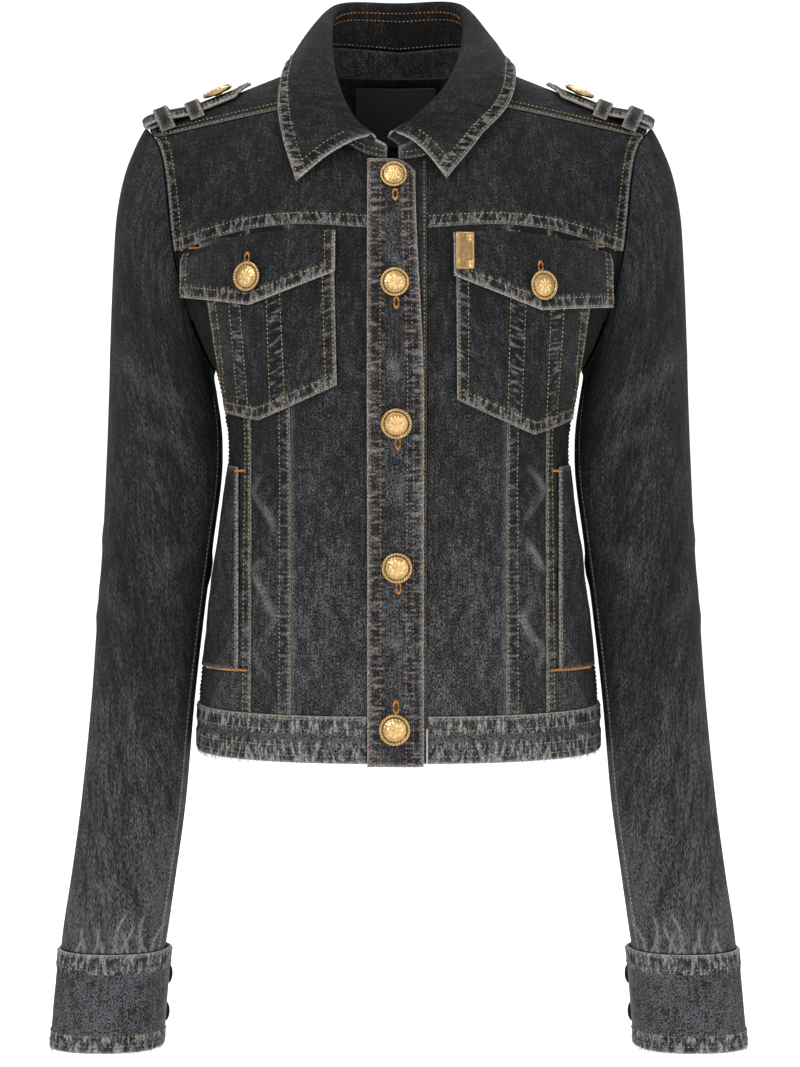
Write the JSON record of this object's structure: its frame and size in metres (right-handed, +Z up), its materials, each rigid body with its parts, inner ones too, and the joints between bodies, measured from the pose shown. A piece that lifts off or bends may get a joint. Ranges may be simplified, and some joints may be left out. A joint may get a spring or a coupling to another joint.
{
  "type": "denim jacket",
  "caption": "Short fitted denim jacket, hollow and filled out as worn, buttoned up, with long sleeves, a fold-over collar, flap pockets and shoulder straps.",
  "frame": {"origin": "midway between the two shoulder-neck points, where the wearer's shoulders carry the jacket", "axes": "+Z up, the front faces -Y, +X towards the viewer's right as seen from the front"},
  "size_m": [0.501, 0.2291, 0.7516],
  "materials": {
    "denim": "washed black denim twill, worn pale along its edges",
    "woven_label": "plain black woven label",
    "antique_gold": "antique gold metal"
  },
  "bodies": {
    "root": {"front_yoke_left": "denim", "front_centre_left": "denim", "front_middle_left": "denim", "front_side_left": "denim", "back_side_left": "denim", "front_yoke_right": "denim", "front_centre_right": "denim", "front_middle_right": "denim", "front_side_right": "denim", "back_side_right": "denim", "back_centre": "denim", "back_yoke": "denim", "waistband_left": "denim", "waistband_right": "denim", "waistband_back": "denim", "placket": "denim", "underlap": "denim", "collar": "denim", "collar_stand": "denim", "pocket_left": "denim", "flap_left": "denim", "welt_left": "denim", "pocket_right": "denim", "flap_right": "denim", "welt_right": "denim", "sleeve_top_left": "denim", "sleeve_under_left": "denim", "cuff_left": "denim", "sleeve_top_right": "denim", "sleeve_under_right": "denim", "cuff_right": "denim", "strap_left": "denim", "strap_right": "denim", "keeper_left_1": "denim", "keeper_left_2": "denim", "keeper_right_1": "denim", "keeper_right_2": "denim", "button_front_1": "antique_gold", "button_front_2": "antique_gold", "button_front_3": "antique_gold", "button_front_4": "antique_gold", "button_front_5": "antique_gold", "button_pocket_left": "antique_gold", "button_strap_left": "antique_gold", "button_pocket_right": "antique_gold", "button_strap_right": "antique_gold", "button_cuff_left_1": "antique_gold", "button_cuff_left_2": "antique_gold", "button_cuff_right_1": "antique_gold", "button_cuff_right_2": "antique_gold", "metal_tab": "antique_gold", "neck_label": "woven_label"}
  },
  "joints": []
}
